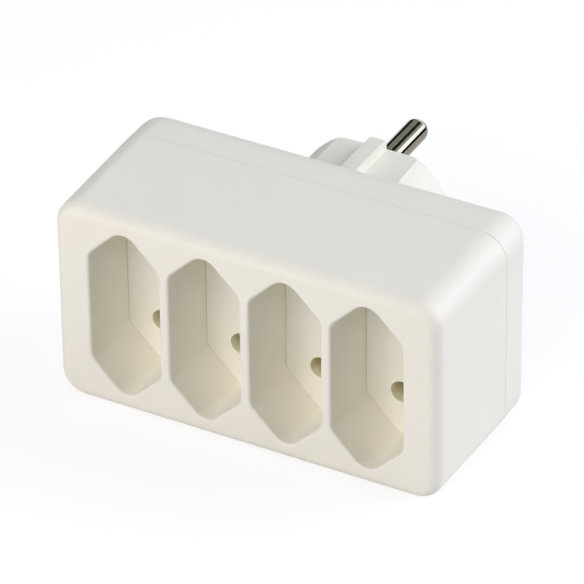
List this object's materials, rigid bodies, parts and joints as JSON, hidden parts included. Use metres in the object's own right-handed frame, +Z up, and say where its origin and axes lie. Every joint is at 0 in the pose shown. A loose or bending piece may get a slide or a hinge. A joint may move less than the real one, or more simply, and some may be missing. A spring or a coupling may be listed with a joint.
{
  "type": "multi socket adapter",
  "caption": "Plug-in mains adapter: rounded warm white plastic box with a row of hexagonal sockets for flat plugs on the front and a round plug with metal pins on the back.",
  "frame": {"origin": "centre of the plug's end face, half way between its two pins", "axes": "+X along the row of sockets, +Y out of the plug towards the wall socket, +Z up"},
  "size_m": [0.082, 0.0718, 0.0446],
  "materials": {
    "white_plastic": "satin injection-moulded warm white plastic",
    "carrier_plastic": "plain moulded insulating plastic, natural beige",
    "nickel_plate": "turned brass, bright nickel plate",
    "spring_brass": "stamped strip, mill finish",
    "zinc_steel": "zinc-plated self-tapping screw"
  },
  "bodies": {
    "root": {"bus_bar_lower": "spring_brass", "bus_bar_upper": "spring_brass", "contact_1_lower": "spring_brass", "contact_1_upper": "spring_brass", "contact_2_lower": "spring_brass", "contact_2_upper": "spring_brass", "contact_3_lower": "spring_brass", "contact_3_upper": "spring_brass", "contact_4_lower": "spring_brass", "contact_4_upper": "spring_brass", "contact_carrier": "carrier_plastic", "contact_rivets": "spring_brass", "cover_screws": "zinc_steel", "front_housing": "white_plastic", "plug_pin_lower": "nickel_plate", "plug_pin_upper": "nickel_plate", "rear_cover": "white_plastic"}
  },
  "joints": []
}
